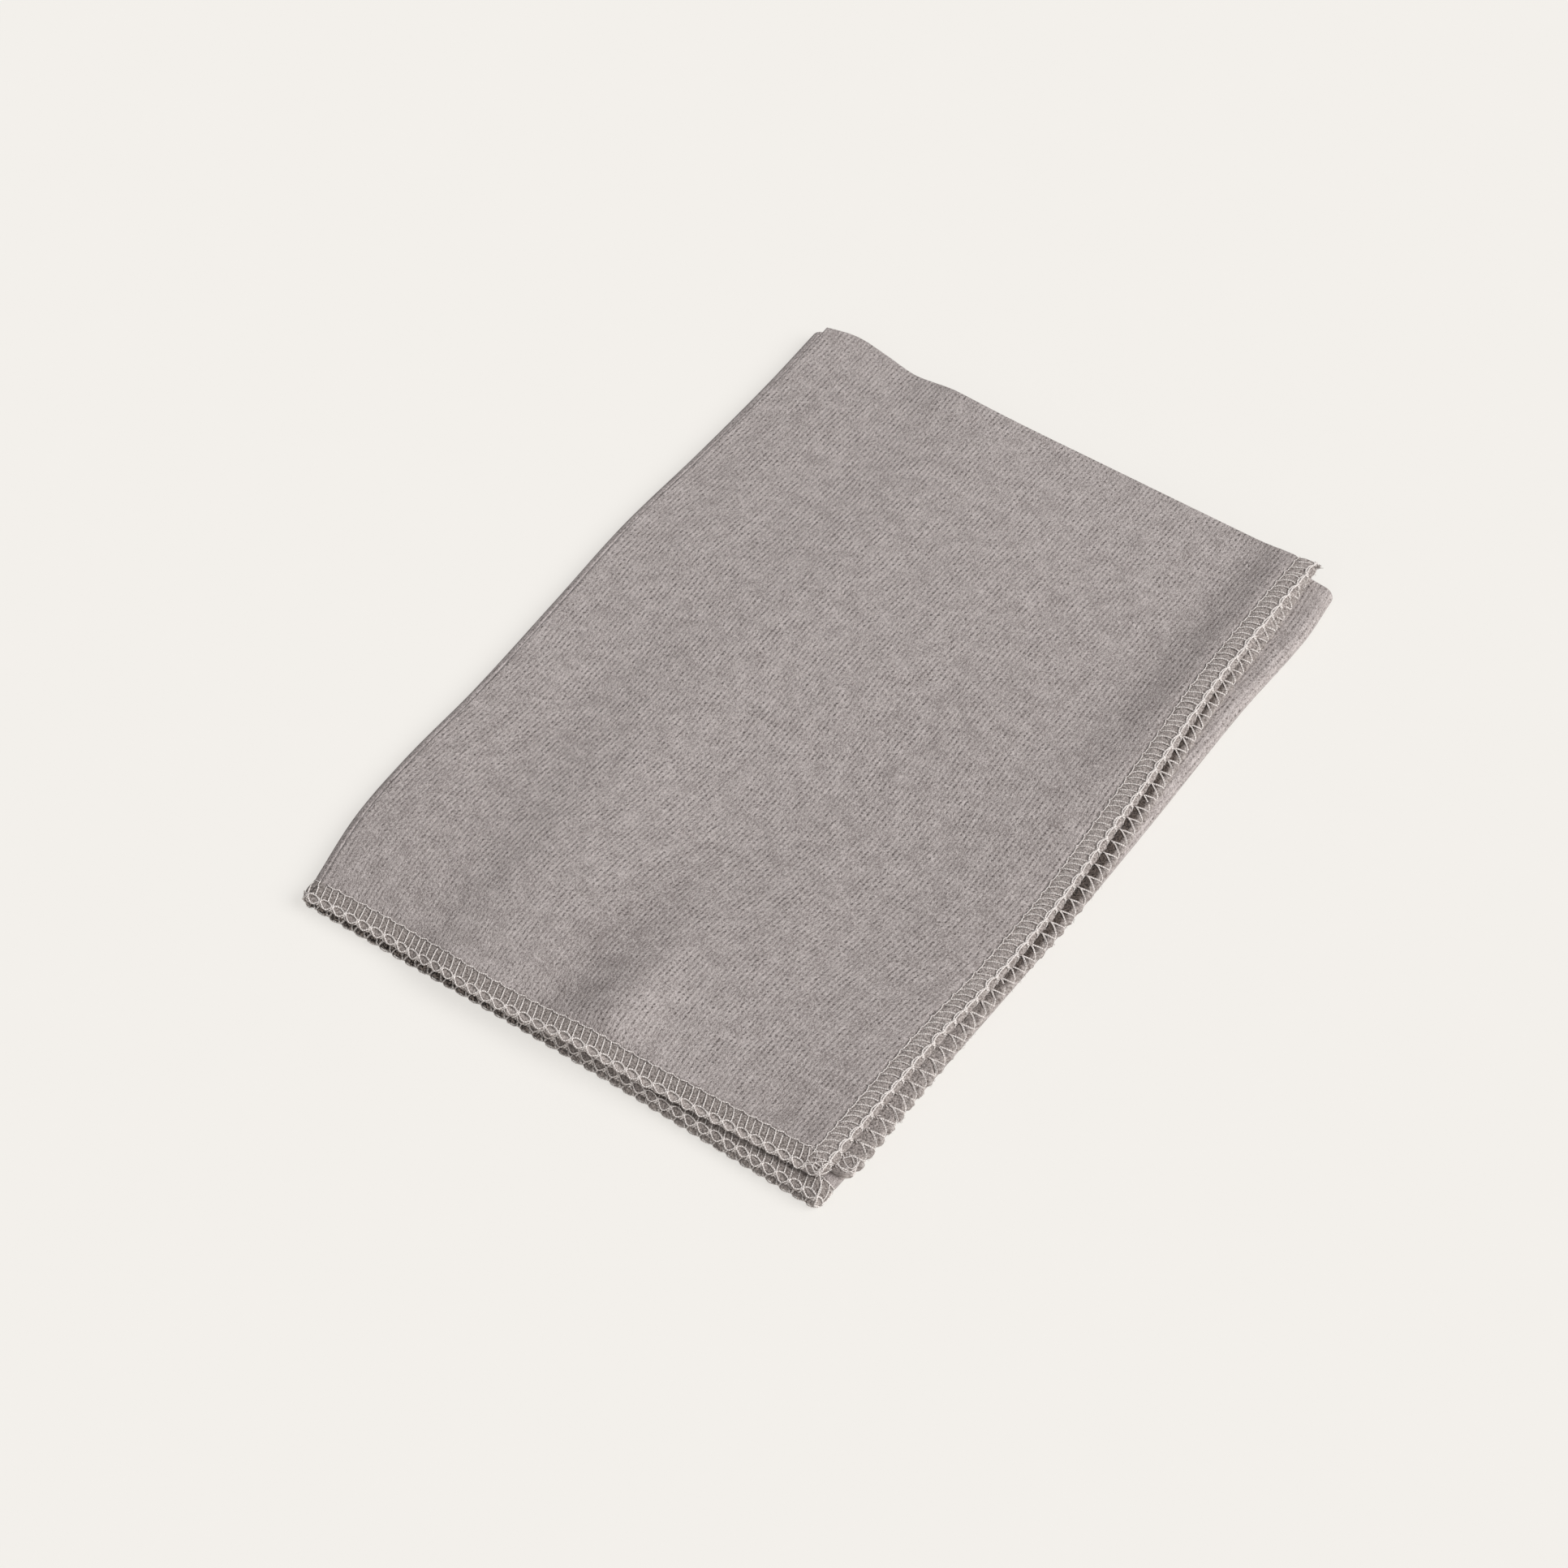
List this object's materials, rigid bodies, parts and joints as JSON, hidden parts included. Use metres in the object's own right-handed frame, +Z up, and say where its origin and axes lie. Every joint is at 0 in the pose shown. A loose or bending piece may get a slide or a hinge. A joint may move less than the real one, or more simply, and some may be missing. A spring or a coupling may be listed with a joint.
{
  "type": "cotton cleaning cloth",
  "caption": "Soft brushed cotton cleaning cloth with overlocked edges, folded in half and then in three like a letter; its top panel opens at the left fold.",
  "frame": {"origin": "on the surface that the folded cloth rests on, under the middle of its box", "axes": "+Z up out of the stack of layers, +Y from the front edges to the back folds, +X from the left fold to the right fold"},
  "size_m": [0.1614, 0.2318, 0.0089],
  "materials": {
    "cotton": "warm grey brushed cotton, short soft nap, matt",
    "overlock_thread": "pale three-thread overlock over the raw edge of the cotton"
  },
  "bodies": {
    "folded_base": {"base_and_tucked_panel": "cotton", "base_front_edging": "overlock_thread", "base_inner_edging": "overlock_thread", "tucked_side_edging": "overlock_thread", "left_fold": "cotton", "left_fold_outer_edging": "overlock_thread", "left_fold_inner_edging": "overlock_thread"},
    "top_flap": {"top_panel": "cotton", "top_front_edging": "overlock_thread", "top_inner_edging": "overlock_thread", "top_side_edging": "overlock_thread"}
  },
  "joints": [
    {"name": "left_fold_hinge", "type": "hinge", "parent": "folded_base", "child": "top_flap", "pos_m": [-0.0793, 0, 0.00255], "axis": [0, -1, 0], "range_deg": [0, 175], "deforming": ["left_fold", "left_fold_outer_edging", "left_fold_inner_edging"]}
  ]
}
